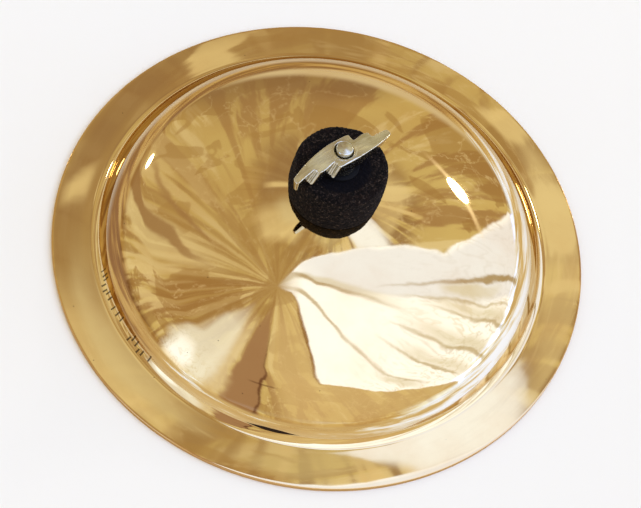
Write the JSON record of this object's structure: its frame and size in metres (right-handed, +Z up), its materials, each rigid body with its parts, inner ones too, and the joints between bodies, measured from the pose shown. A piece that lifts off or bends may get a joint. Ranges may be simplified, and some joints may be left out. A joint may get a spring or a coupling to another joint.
{
  "type": "bell cymbal",
  "caption": "Polished bronze bell cymbal with a low dome and narrow brim, clamped between felts by a wing nut on a short mounting post.",
  "frame": {"origin": "on the bell's axis, at the flat underside of the rim that it stands on", "axes": "+Z up along the bell's axis, through the mounting rod; the wing nut's wings lie about 48.5 degrees from +X"},
  "size_m": [0.2414, 0.2414, 0.0779],
  "materials": {
    "polished_bronze": "mirror polished and lacquered bell bronze",
    "wool_felt": "pressed wool felt, near black brown",
    "nylon": "natural moulded nylon",
    "black_nylon": "black moulded nylon",
    "zinc_plated_steel": "bright zinc plate",
    "nickel_plated_casting": "satin nickel plated zinc casting"
  },
  "bodies": {
    "post": {"threaded_rod": "zinc_plated_steel", "cup_washer": "zinc_plated_steel", "lock_nut": "zinc_plated_steel", "hex_coupler": "zinc_plated_steel"},
    "spindle": {"rod_sleeve": "nylon", "bottom_felt": "wool_felt", "top_felt": "wool_felt"},
    "bell": {"bell_cymbal": "polished_bronze"},
    "nut_rider": {"nut_washer": "black_nylon"},
    "nut": {"wing_nut": "nickel_plated_casting"}
  },
  "joints": [
    {"name": "bell_spin", "type": "hinge", "parent": "post", "child": "spindle", "pos_m": [0, 0, 0.0445], "axis": [0, 0, 1], "continuous": true},
    {"name": "bell_swing", "type": "hinge", "parent": "spindle", "child": "bell", "pos_m": [0, 0, 0.0445], "axis": [1, 0, 0], "range_deg": [-6, 6], "stiffness_Nm_per_rad": 1, "deforming": ["top_felt", "bottom_felt"]},
    {"name": "wing_nut_rise", "type": "slide", "parent": "post", "child": "nut_rider", "axis": [0, 0, 1], "range_m": [0, 0.01126]},
    {"name": "wing_nut_turn", "type": "hinge", "parent": "nut_rider", "child": "nut", "pos_m": [0, 0, 0.0655], "axis": [0, 0, 1], "range_deg": [0, 3240]}
  ],
  "couplings": [
    {"joint": "wing_nut_rise", "follows": "wing_nut_turn", "m_per_rad": 0.00019894}
  ]
}
